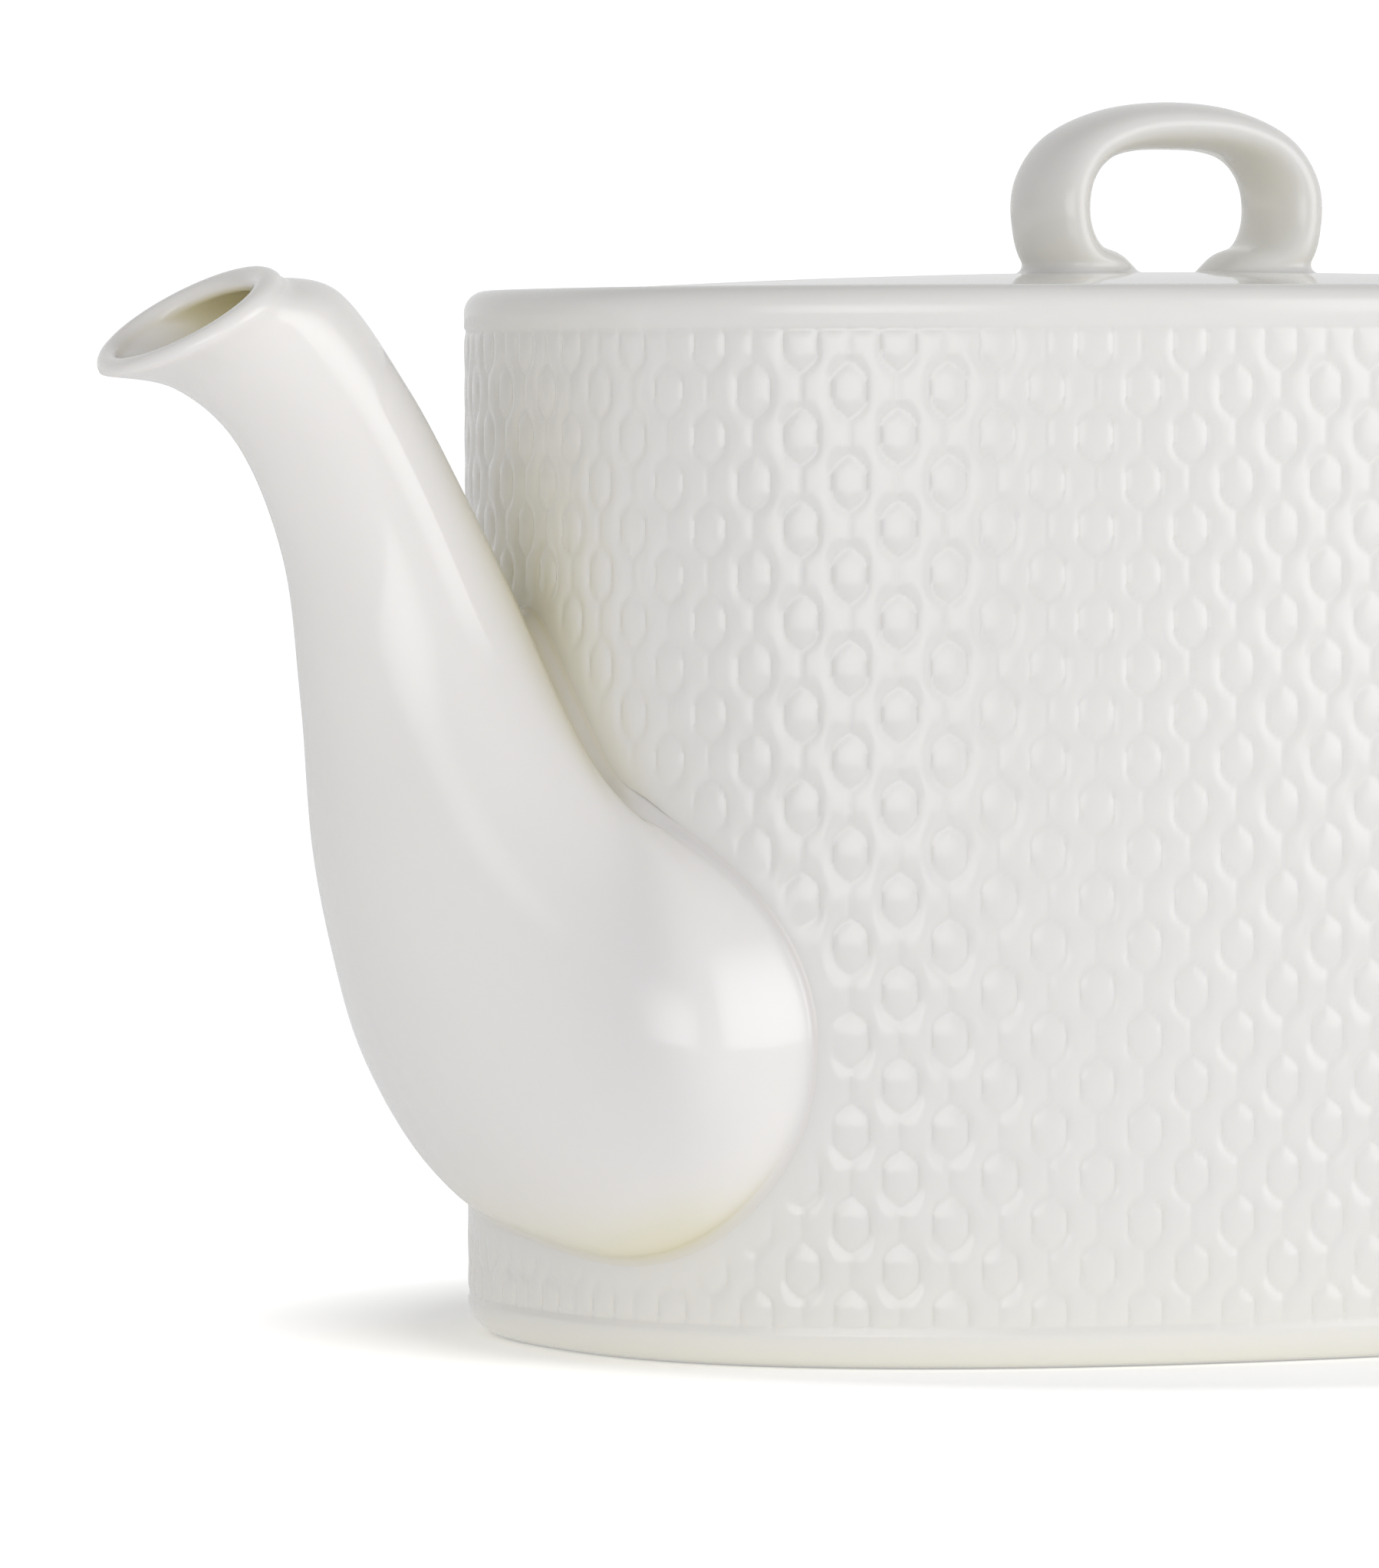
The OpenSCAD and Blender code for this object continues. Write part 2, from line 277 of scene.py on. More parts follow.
class PotWall:
    """The pot's upright outer wall."""

    def gauge(self, p):
        return (np.abs(p[..., 0] / HALF_LENGTH) ** PLAN_POWER
                + np.abs(p[..., 1] / HALF_WIDTH) ** PLAN_POWER) ** (1 / PLAN_POWER)

    def slope(self, p):
        rise = [np.sign(p[..., i]) * np.abs(p[..., i] / half) ** (PLAN_POWER - 1) / half
                for i, half in ((0, HALF_LENGTH), (1, HALF_WIDTH))]
        return np.stack(rise + [0 * p[..., 2]], -1) * self.gauge(p)[..., None] ** (1 - PLAN_POWER)

    def value(self, p):
        """Distance from the wall, below zero inside the pot."""
        return (self.gauge(p) - 1) / np.linalg.norm(self.slope(p), axis=-1)


class LidTop:
    """The lid's domed top."""

    def height(self, x, y):
        a, b = HALF_LENGTH - LID_EDGE, HALF_WIDTH - LID_EDGE
        share = (np.abs(x / a) ** PLAN_POWER + np.abs(y / b) ** PLAN_POWER) ** (1 / PLAN_POWER)
        return LID_EDGE_Z + (LID_TOP - LID_EDGE_Z) * (1 - share ** 2)

    def slope(self, p, step=0.001):
        x, y = p[..., 0], p[..., 1]
        along = (self.height(x + step, y) - self.height(x - step, y)) / (2 * step)
        across = (self.height(x, y + step) - self.height(x, y - step)) / (2 * step)
        return np.stack([-along, -across, 1 + 0 * x], -1)

    def value(self, p):
        return (p[..., 2] - self.height(p[..., 0], p[..., 1])) / np.linalg.norm(self.slope(p), axis=-1)


def unit(v):
    return v / np.linalg.norm(v, axis=-1, keepdims=True)


def foot_on(surface, p):
    """Nearest points of a surface."""
    q = p.copy()
    for _ in range(5):
        n = unit(surface.slope(q))
        away = p - q
        q = q + 0.8 * (away - (away * n).sum(-1, keepdims=True) * n)
        for _ in range(2):
            q = q - surface.value(q)[..., None] * unit(surface.slope(q))
    return q


# ---- swept forms ------------------------------------------------------------
# Rows are outer x, outer z, inner x, inner z, half width, power and sideways roll.

SPOUT_STATIONS = np.array([
    (-62.5, 11, -50.1, 52.3, 34.1, 2.24, 0.1), (-71.5, 11.1, -63.4, 55.8, 38.8, 2.55, 0.1),
    (-78.2, 19, -70, 58.3, 36.3, 2.36, 0.09), (-85.6, 31, -70.7, 60.1, 28, 2.1, 0.05),
    (-91.6, 46.3, -72.3, 66.6, 19.3, 2.1, 0.02), (-94.7, 63.4, -74.7, 74.8, 13.3, 2, 0),
    (-96.9, 77.7, -79.8, 84.8, 10.6, 2, 0), (-101.8, 89, -85.6, 95, 9.6, 2, 0),
    (-108.6, 94.7, -93, 104.5, 9.9, 2, 0), (-116.1, 96.1, -100.2, 105.7, 11.6, 2, 0)])
SPOUT_WALL = 2.4
BEAD, BEAD_SHARE = 0.75, 0.07            # swelling of the lip, and the share of the spout it takes up
EASE_IN, EASE_FROM, EASE_OVER = 0.04, 0.3, 0.2   # shares of the spout between which its ridge is eased
EASE_PASSES = 90
SPOUT_JOINT, BRIDGE_JOINT = 0.85, 0.5    # the joint is looked for before this share of a form

HANDLE_STATIONS = np.array([row + (2.3, 0) for row in [
    (60, 99, 60, 79, 11), (74, 98, 73, 80.5, 9.6), (88, 97.5, 84.5, 86, 8),
    (103, 93.5, 96, 85, 7.4), (113, 83.5, 103.5, 79, 7.4), (117, 69, 107, 68.5, 7.4),
    (114, 54.5, 104.5, 58, 7.4), (105, 41.5, 97.5, 48.5, 7.4), (91.5, 31.5, 86.5, 40.5, 8),
    (75.5, 22.5, 74.5, 36.5, 9.4), (60, 17, 60, 38, 11)]])

HALF_KNOB = [
    (4.2, -1.6, 3.4, -0.7, 2.6), (9, -1.4, 6.6, 1.9, 5.4), (14.4, 0.2, 9.2, 3, 6.4),
    (16, 5, 10.5, 5.4, 6.5), (15.6, 9.6, 10.1, 8.9, 6.4), (12.6, 13.8, 8, 11.2, 6.2),
    (7, 16.4, 4.4, 12.2, 6), (0, 17.2, 0, 12.4, 6)]
KNOB_STATIONS = np.array(
    [(a, LID_TOP + b, c, LID_TOP + d, w, 2.2, 0) for a, b, c, d, w in HALF_KNOB]
    + [(-a, LID_TOP + b, -c, LID_TOP + d, w, 2.2, 0) for a, b, c, d, w in HALF_KNOB[-2::-1]])


def between(table, u):
    """Catmull-Rom curve through the rows of a table, at places u from 0 to 1."""
    u = np.clip(np.asarray(u, float), 0, 1) * (len(table) - 1)
    i = np.minimum(u.astype(int), len(table) - 2)
    f = (u - i)[..., None]
    a, b, c, d = (table[np.clip(i + k, 0, len(table) - 1)] for k in (-1, 0, 1, 2))
    return (b + f * (c - a) / 2 + f ** 2 * (a - 2.5 * b + 2 * c - 0.5 * d)
            + f ** 3 * (1.5 * (b - c) + (d - a) / 2))


def form_points(table, u, angle, shrink=0.0):
    """Points of a swept form at places u along it and angles round it."""
    s = between(table, u)
    half = (s[..., 2:4] - s[..., 0:2]) / 2
    middle = (s[..., 2:4] + s[..., 0:2]) / 2
    size = np.linalg.norm(half, axis=-1, keepdims=True)
    c, e = np.cos(angle), np.sin(angle)
    reach = (np.abs(c) ** s[..., 5] + np.abs(e) ** s[..., 5]) ** (-1 / s[..., 5])
    along = middle + (c * reach)[..., None] * half * (size - shrink) / size
    y = (s[..., 4] - shrink) * e * reach
    return np.stack([along[..., 0], y, along[..., 1] + s[..., 6] * y], -1)


def form_normals(table, u, angle):
    """Outward directions of a swept form."""
    du, da = 1e-4, 1e-3
    along = (form_points(table, np.clip(u + du, 0, 1), angle)
             - form_points(table, np.clip(u - du, 0, 1), angle))
    round_it = form_points(table, u, angle + da) - form_points(table, u, angle - da)
    n = unit(np.cross(round_it, along))
    s = between(table, u)
    middle = np.stack([(s[..., 0] + s[..., 2]) / 2, 0 * s[..., 0], (s[..., 1] + s[..., 3]) / 2], -1)
    return n * np.sign(((form_points(table, u, angle) - middle) * n).sum(-1, keepdims=True))


def last_exit(u, value):
    """Place where each column of values last turns positive."""
    last = len(u) - 1 - np.argmax((value < 0)[::-1], axis=0)
    last = np.minimum(last, len(u) - 2)
    column = np.arange(value.shape[1])
    v0, v1 = value[last, column], value[last + 1, column]
    return u[last] + np.clip(v0 / (v0 - v1), 0, 1) * (u[last + 1] - u[last])


def even_steps(places, angles, points, count):
    """Places and angles at equal steps along a closed curve on a form."""
    step = np.linalg.norm(np.roll(points, -1, 0) - points, axis=1)
    length = np.concatenate([[0], np.cumsum(step)])
    at = np.arange(count) / count * length[-1]
    return (np.interp(at, length, np.append(places, places[0])),
            np.interp(at, length, np.append(angles, angles[0] + 2 * np.pi)))


def search_grid(high):
    """Places up to a highest one and angles all round, alone and as a grid."""
    u, angles = np.linspace(0, high, 700), np.arange(720) / 720 * 2 * np.pi
    return u, angles, *np.meshgrid(u, angles, indexing="ij")


def joint_rings(table, surface, r, high, count, steps=9):
    """Fillet of a ball of radius r rolled round a joint: its rings, and the curve where the form starts."""
    u, angles, uu, aa = search_grid(high)
    centre = form_points(table, uu, aa) + r * form_normals(table, uu, aa)
    place_at = last_exit(u, surface.value(centre) - r)
    place_at, angle_at = even_steps(place_at, angles, form_points(table, place_at, angles), count)
    top = form_points(table, place_at, angle_at)
    centre = top + r * form_normals(table, place_at, angle_at)
    foot = foot_on(surface, centre)
    a, b = unit(foot - centre), unit(top - centre)
    turn = np.arccos(np.clip((a * b).sum(-1, keepdims=True), -1, 1))
    rings = []
    for t in np.linspace(0, 1, steps + 1)[:-1]:
        way = (np.sin((1 - t) * turn) * a + np.sin(t * turn) * b) / np.sin(turn)
        size = (1 - t) * np.linalg.norm(foot - centre, axis=-1, keepdims=True) + t * r
        rings.append(centre + way * size)
    rings[0] = rings[0] - 0.05 * unit(surface.slope(foot))
    return rings, place_at, angle_at


def hollow_start(table, surface, shrink, high, count):
    """Curve where the inside of a hollow form leaves the surface."""
    u, angles, uu, aa = search_grid(high)
    place_at = last_exit(u, surface.value(form_points(table, uu, aa, shrink)))
    return even_steps(place_at, angles, form_points(table, place_at, angles, shrink), count)


def lip_rings(outer, inner, steps=9):
    """Half-round lip between the outer and the inner edge of the mouth."""
    ahead = unit(np.cross(outer[0] - outer.mean(0), outer[len(outer) // 4] - outer.mean(0)))
    middle, half = (outer + inner) / 2, (outer - inner) / 2
    bulge = np.linalg.norm(half, axis=1, keepdims=True)
    return [middle + half * math.cos(a) + ahead * bulge * math.sin(a)
            for a in np.linspace(0, math.pi, steps + 1)[1:-1]]


def softened(grid, weight, passes):
    """Grid of points eased towards their neighbours where the weight is high."""
    grid = np.array(grid)
    for _ in range(passes):
        mean = (grid[:-2] + grid[2:] + np.roll(grid, 1, 1)[1:-1] + np.roll(grid, -1, 1)[1:-1]) / 4
        grid[1:-1] += 0.5 * weight[1:-1, :, None] * (mean - grid[1:-1])
    return grid


def spout_form(count=132, rings=120):
    """Points and faces of the hollow spout, and its footprint on the pot wall."""
    wall = PotWall()
    fillet, place_at, angle_at = joint_rings(SPOUT_STATIONS, wall, SPOUT_FILLET, SPOUT_JOINT, count)
    mouth = np.arange(count) / count * 2 * np.pi
    share = np.linspace(0, 1, rings)
    outer = [form_points(SPOUT_STATIONS, place_at + (1 - place_at) * v, angle_at + (mouth - angle_at) * v)
             for v in share]
    ease = smoothstep(share / EASE_IN) * (1 - smoothstep((share - EASE_FROM) / EASE_OVER))
    outer = softened(outer, ease[:, None] * np.sin(angle_at)[None] ** 2, EASE_PASSES)
    swell = BEAD * smoothstep((share - 1 + BEAD_SHARE) / BEAD_SHARE)[:, None] * (0.5 + 0.5 * np.cos(mouth))
    middle = outer.mean(1, keepdims=True)
    outer = list(outer + swell[..., None] * unit(outer - middle))
    place_in, angle_in = hollow_start(SPOUT_STATIONS, wall, SPOUT_WALL, SPOUT_JOINT, count)
    inner = [form_points(SPOUT_STATIONS, place_in + (1 - place_in) * v, angle_in + (mouth - angle_in) * v,
                         SPOUT_WALL) for v in share[::-2]]
    lip = lip_rings(outer[-1], inner[0])
    return skin(fillet + outer + lip + inner, loop=True), fillet[0]


def bridge_form(table, surface, r, count, rings):
    """Points and faces of a form whose two ends stand on one surface, and its two footprints."""
    first, place_a, angle_a = joint_rings(table, surface, r, BRIDGE_JOINT, count)
    last, place_b, angle_b = joint_rings(table[::-1], surface, r, BRIDGE_JOINT, count)
    place_b = 1 - place_b
    middle = [form_points(table, place_a + (place_b - place_a) * v, angle_a + (angle_b - angle_a) * v)
              for v in np.linspace(0, 1, rings)]
    return skin(first + middle + last[::-1]), first[0], last[0]


# ---- the embossed wall -------------------------------------------------------

def relief_height(s, z, pitch):
    """Height of the emboss from 0 in a groove to 1 on a crest. Buds stand in staggered columns."""
    column = (s - COLUMN_AT) / pitch
    row = (ROW_TOP - z) / ROW_PITCH
    nearest = np.minimum(np.abs(PATTERN_HIGH - z), np.abs(z - PATTERN_LOW)) + 0 * s
    for side in (0, 1):
        index = np.floor(column) + side
        odd = np.mod(index, 2)
        dx = np.abs(column - index) * pitch
        dy = np.abs(row - odd - 2 * np.round((row - odd) / 2)) * ROW_PITCH
        size = ((dx / BUD_HALF) ** 8 + ((dy + BUD_LEAN * dx) / BUD_TIP) ** 8) ** (1 / 8)
        bud = np.abs(size - 1) * BUD_HALF
        seam = np.where(dy > BUD_TIP, dx, np.hypot(dx, dy - BUD_TIP))
        nearest = np.minimum(nearest, np.minimum(bud, seam + SEAM_SHALLOW))
    nearest = np.sqrt(nearest ** 2 + GROOVE_ROUND ** 2) - GROOVE_ROUND
    swell = 1 - (1 - np.clip(nearest / BUD_HALF, 0, 1)) ** 2
    return GROOVE_SHARE * (1 - np.exp(-nearest / GROOVE_REACH)) + (1 - GROOVE_SHARE) * swell


def outside_distance(points, ring):
    """Distance of 2D points from a closed ring, zero inside it."""
    best = np.full(len(points), 1e9)
    inside = np.zeros(len(points), bool)
    for a, b in zip(ring, np.roll(ring, -1, 0)):
        ab = b - a
        t = np.clip(((points - a) @ ab) / max(ab @ ab, 1e-12), 0, 1)
        best = np.minimum(best, np.linalg.norm(points - a - t[:, None] * ab, axis=1))
        crosses = (a[1] > points[:, 1]) != (b[1] > points[:, 1])
        x = a[0] + (points[:, 1] - a[1]) * ab[0] / (ab[1] if abs(ab[1]) > 1e-9 else 1e-9)
        inside ^= crosses & (points[:, 0] < x)
    return np.where(inside, 0, best)


def embossed_wall(plan, perimeter, footprints):
    """Rings of the pot's outer wall with the emboss, fading out round each joint."""
    z = np.concatenate([[FOOT_ROUND], np.linspace(PATTERN_LOW - EDGE_FADE, PATTERN_HIGH + EDGE_FADE,
                                                    WALL_STEPS), [BODY_HEIGHT - RIM_ROUND]])
    s = np.where(plan[2] > perimeter / 2, plan[2] - perimeter, plan[2])
    ss, zz = np.broadcast_arrays(s[None], z[:, None])
    fade = (smoothstep((zz - PATTERN_LOW) / EDGE_FADE + 1)
            * smoothstep((PATTERN_HIGH - zz) / EDGE_FADE + 1))
    reach = 6
    for ring in footprints:
        flat = np.stack([arc_length_at(ring, perimeter), ring[:, 2]], -1)
        near = ((ss > flat[:, 0].min() - reach) & (ss < flat[:, 0].max() + reach)
                & (zz > flat[:, 1].min() - reach) & (zz < flat[:, 1].max() + reach))
        distance = outside_distance(np.stack([ss[near], zz[near]], -1), flat)
        fade[near] *= smoothstep((distance - JOINT_PLAIN) / JOINT_FADE)
    depth = RELIEF * (1 - relief_height(ss, zz, perimeter / COLUMNS)) * fade
    x = (HALF_LENGTH - depth) * plan[0][None]
    y = (HALF_WIDTH - depth) * plan[1][None]
    return np.stack([x, y, zz], -1)


def stitch(coarse_at, coarse, fine_at, fine, flip):
    """Triangles joining a ring of few points to a ring of a whole multiple of them."""
    ratio = fine // coarse
    faces = []
    for k in range(coarse):
        a, b = coarse_at + k, coarse_at + (k + 1) % coarse
        half = ratio // 2
        for m in range(ratio):
            p = fine_at + (k * ratio + m) % fine
            q = fine_at + (k * ratio + m + 1) % fine
            faces.append((p, q, a if m < half else b))
        faces.append((a, fine_at + k * ratio + half, b))
    return [f[::-1] for f in faces] if flip else faces


def pot_form(footprints):
    """Points and faces of the whole pot: fine outside, coarser under the foot and inside."""
    fine, coarse = COLUMNS * len(COLUMN_STEPS), COLUMNS * 3
    plan_fine, plan_coarse = plan_at(COLUMNS, COLUMN_STEPS), plan_at(coarse)
    perimeter = plan_fine[3]
    low = quarter(FOOT_ROUND, FOOT_ROUND, FOOT_ROUND, -90, 0, 8)[:-1]
    high = quarter(RIM_ROUND, BODY_HEIGHT - RIM_ROUND, RIM_ROUND, 0, 90, 8)[1:]
    outside = np.concatenate([
        [plan_ring(plan_fine, i, z) for i, z in low],
        embossed_wall(plan_fine, perimeter, footprints),
        [plan_ring(plan_fine, i, z) for i, z in high]])
    under = [(40, FOOT_HOLLOW), (14, FOOT_HOLLOW), (8.6, FOOT_HOLLOW), (7.9, 1.9), (7.5, 0.5), (7.1, 0)]
    shelf_low = SHELF_Z - SHELF_THICK
    floor_z = FOOT_HOLLOW + FLOOR_THICK
    bowl = 7
    inside = (quarter(RIM_LAND - 0.5, BODY_HEIGHT - 0.5, 0.5, 90, 180, 4)
              + [(RIM_LAND, SHELF_Z + 0.5), (RIM_LAND + 0.15, SHELF_Z + 0.1), (RIM_LAND + 0.5, SHELF_Z)]
              + [(THROAT - 0.6, SHELF_Z), (THROAT - 0.1, SHELF_Z - 0.2), (THROAT, SHELF_Z - 0.6)]
              + [(THROAT, shelf_low + 0.4), (THROAT - 0.4, shelf_low), (WALL + 1.5, shelf_low - 4.5),
                 (WALL, shelf_low - 8)]
              + [(WALL, z) for z in (80, 60, 40, 20)]
              + [(WALL + bowl * (1 - math.cos(a)), floor_z + bowl * (1 - math.sin(a)))
                 for a in np.radians(np.linspace(0, 90, 8))] + [(20, floor_z), (40, floor_z)])
    low_part = [plan_ring(plan_coarse, i, z) for i, z in under]
    high_part = [plan_ring(plan_coarse, i, z) for i, z in inside]
    a = skin(low_part, caps=False)
    b = skin(outside, caps=False)
    c = skin(high_part, caps=False)
    points, faces = merge(a, b, c)
    at_b = len(a[0])
    at_c = at_b + len(b[0])
    faces += stitch(at_b - coarse, coarse, at_b, fine, flip=True)
    faces += stitch(at_c, coarse, at_c - fine, fine, flip=False)
    return add_caps(points, faces, coarse)


def lid_form():
    """Points and faces of the lid with its locating skirt."""
    a, b = HALF_LENGTH - LID_EDGE, HALF_WIDTH - LID_EDGE
    plan = plan_at(PLAN_STEPS)
    top = LidTop()
    seat = COLLAR_HIGH[2] + 0.05
    skirt_out, skirt_in = COLLAR_IN + 1, COLLAR_IN + 3.8
    skirt_low = LID_LOW[2]
    bend = 1.2

    def share_ring(k, drop=0.0):
        x, y = a * k * plan[0], b * k * plan[1]
        return np.stack([x, y, top.height(x, y) - drop], -1)

    under = [share_ring(k, LID_THICK) for k in (0.01, 0.2, 0.4, 0.6, 0.75, 0.84)]
    skirt = ([(skirt_in + 0.9, seat + 0.6), (skirt_in + 0.2, seat + 0.1), (skirt_in, seat - 0.6)]
             + [(skirt_in - bend + bend * math.cos(t), skirt_low + bend - bend * math.sin(t))
                for t in np.radians([0, 20, 45, 70, 90])]
             + [(skirt_out + bend - bend * math.sin(t), skirt_low + bend - bend * math.cos(t))
                for t in np.radians([0, 20, 45, 70, 90])]
             + [(skirt_out, seat - 0.3), (skirt_out - 0.1, seat - 0.05), (skirt_out - 0.4, seat)]
             + [(LID_EDGE + 0.5, seat), (LID_EDGE + 0.12, seat + 0.15), (LID_EDGE, seat + 0.5)])
    edge_round = 1.3
    edge = [(LID_EDGE + edge_round * (1 - math.cos(t)), LID_EDGE_Z - edge_round * (1 - math.sin(t)) + 0.06)
            for t in np.radians(np.linspace(0, 75, 7))]
    shares = np.concatenate([np.linspace(0.975, 0.1, 30), [0.01]])
    rings = (under + [plan_ring(plan, i, z) for i, z in skirt + edge] + [share_ring(k) for k in shares])
    return skin(rings)


# ---- perforated sheets --------------------------------------------------------

def perforated_wall(low, high, holes_low, holes_high):
    """Basket wall as a sheet with staggered round holes between two plain edges."""
    girth = plan_at(64)[3] * 0.83        # round the basket, as a share of the pot's own girth
    count = 2 * round(girth / HOLE_PITCH / 2)
    plan = plan_at(2 * count)
    rows = 2 * int((holes_high - holes_low) / (HOLE_PITCH * HOLE_ROW) / 2)
    cell = (holes_high - holes_low) / rows

    def inset(z):
        return BASKET_INSET + BASKET_TAPER * (high - z) / (high - low)

    def spot(side, column, z):
        i = np.mod(column, 2 * count)
        k = np.floor(i).astype(int)
        f = i - k
        x = plan[0][k] * (1 - f) + plan[0][(k + 1) % (2 * count)] * f
        y = plan[1][k] * (1 - f) + plan[1][(k + 1) % (2 * count)] * f
        d = inset(z) + side * SHEET
        return np.stack([(HALF_LENGTH - d) * x, (HALF_WIDTH - d) * y, z], -1)

    border = np.array([(0, 0), (1, 0), (2, 0), (2, 1), (2, 2), (1, 2), (0, 2), (0, 1)], float)
    turn = np.radians(np.array([225, 270, 315, 0, 45, 90, 135, 180]))
    width = girth / count
    hole = np.stack([1 + np.cos(turn) * HOLE_R / width * 2, 1 + np.sin(turn) * HOLE_R / cell * 2], -1)
    both = np.vstack([border, hole])
    columns, levels = np.meshgrid(np.arange(count), np.arange(rows))
    columns, levels = columns.ravel(), levels.ravel()
    u = columns[:, None] * 2 + levels[:, None] % 2 + both[None, :, 0]
    z = holes_low + (levels[:, None] + both[None, :, 1] / 2) * cell
    faces = []
    sides = [spot(side, u.ravel(), z.ravel()) for side in (0, 1)]
    points = np.vstack(sides)
    n = len(sides[0])
    for c in range(len(columns)):
        base = c * 16
        for j in range(8):
            k = (j + 1) % 8
            faces.append((base + j, base + k, base + 8 + k, base + 8 + j))
            faces.append((n + base + k, n + base + j, n + base + 8 + j, n + base + 8 + k))
            faces.append((base + 8 + j, base + 8 + k, n + base + 8 + k, n + base + 8 + j))
    plain = []
    for z0, z1 in ((low, holes_low), (holes_high, high)):
        for side in (0, 1):
            rings = [plan_ring(plan, inset(zz) + side * SHEET, zz) for zz in (z0, z1)]
            p, f = skin(rings, caps=False)
            plain.append((p, f if side == 0 else [q[::-1] for q in f]))
    for zz, flip in ((low, True), (high, False)):
        rings = [plan_ring(plan, inset(zz) + side * SHEET, zz) for side in (0, 1)]
        p, f = skin(rings, caps=False)
        plain.append((p, [q[::-1] for q in f] if flip else f))
    return merge((points, faces), *plain)


def perforated_floor(inset, z):
    """Basket floor: an oval plate with a hexagonal field of round holes."""
    edge, sides = 2.6, 160               # plain edge, and points round the outline
    limit_a, limit_b = HALF_LENGTH - inset - edge, HALF_WIDTH - inset - edge
    centres = []
    row_step = HOLE_PITCH * HOLE_ROW
    for r in range(-int(limit_b / row_step), int(limit_b / row_step) + 1):
        for c in range(-int(limit_a / HOLE_PITCH) - 1, int(limit_a / HOLE_PITCH) + 2):
            x, y = (c + (r % 2) / 2) * HOLE_PITCH, r * row_step
            if abs(x / limit_a) ** PLAN_POWER + abs(y / limit_b) ** PLAN_POWER < 1:
                centres.append((x, y))
    centres = np.array(centres)
    turn = np.arange(8) * np.pi / 4
    holes = (centres[:, None] + HOLE_R * np.stack([np.cos(turn), np.sin(turn)], -1)[None]).reshape(-1, 2)
    flat = np.vstack([plan_ring(plan_at(sides), inset, z)[:, :2], holes])
    edges = [(i, (i + 1) % sides) for i in range(sides)]
    edges += [(sides + h * 8 + j, sides + h * 8 + (j + 1) % 8) for h in range(len(centres)) for j in range(8)]
    made = delaunay_2d_cdt([Vector(p) for p in flat], edges, [], 0, 1e-6)
    verts, tris = np.array([tuple(v) for v in made[0]]), made[2]
    middle = np.array([verts[list(t)].mean(0) for t in tris])
    near = np.full(len(middle), 9.0)
    for start in range(0, len(middle), 2000):
        part = middle[start:start + 2000]
        near[start:start + 2000] = np.linalg.norm(part[:, None] - centres[None], axis=-1).min(1)
    a, b = HALF_LENGTH - inset, HALF_WIDTH - inset
    inside = np.abs(middle[:, 0] / a) ** PLAN_POWER + np.abs(middle[:, 1] / b) ** PLAN_POWER < 1
    keep = [t for t, d, ok in zip(tris, near, inside) if d > HOLE_R * 0.9 and ok]
    n = len(verts)
    top = np.column_stack([verts, np.full(n, z + SHEET)])
    low = np.column_stack([verts, np.full(n, z)])
    faces = [tuple(t) for t in keep] + [tuple(i + n for i in reversed(t)) for t in keep]
    ways = {}
    for t in keep:
        for i, j in zip(t, list(t[1:]) + [t[0]]):
            ways[(i, j)] = True
    faces += [(j, i, i + n, j + n) for i, j in ways if (j, i) not in ways]
    return np.vstack([top, low]), faces


# ---- wire and strip -------------------------------------------------------------

def tube(path, r, sides=20):
    """Closed tube round a closed path in a plane X = constant."""
    path = np.asarray(path, float)
    tangent = np.roll(path, -1, 0) - np.roll(path, 1, 0)
    tangent /= np.linalg.norm(tangent, axis=1, keepdims=True)
    across = np.array([1.0, 0, 0])
    up = np.cross(tangent, across)
    angles = np.arange(sides) / sides * 2 * np.pi
    rings = (path[:, None] + r * (np.cos(angles)[None, :, None] * across
                                  + np.sin(angles)[None, :, None] * up[:, None]))
    return skin(rings, loop=True)


def grip_form(sign):
    """Wire loop that hangs from its hinge."""
    low, high = GRIP_LOW, GRIP_HIGH
    r = (high[0] - low[0]) / 2
    x = sign * abs(low[0] + high[0]) / 2
    side, top, bottom, bend = high[1] - r, high[2] - r, low[2] + r, 3.5
    path = []
    for cy, cz, a0 in ((side - bend, top - bend, 0), (bend - side, top - bend, 90),
                       (bend - side, bottom + bend, 180), (side - bend, bottom + bend, 270)):
        for a in np.radians(np.linspace(a0, a0 + 90, 13)):
            path.append((x, cy + bend * math.cos(a), cz + bend * math.sin(a)))
    full = []
    for p, q in zip(path, path[1:] + path[:1]):
        p, q = np.array(p), np.array(q)
        pieces = max(1, int(np.linalg.norm(q - p) / 1.2))
        full += [p + (q - p) * k / pieces for k in range(pieces)]
    return tube(full, r)


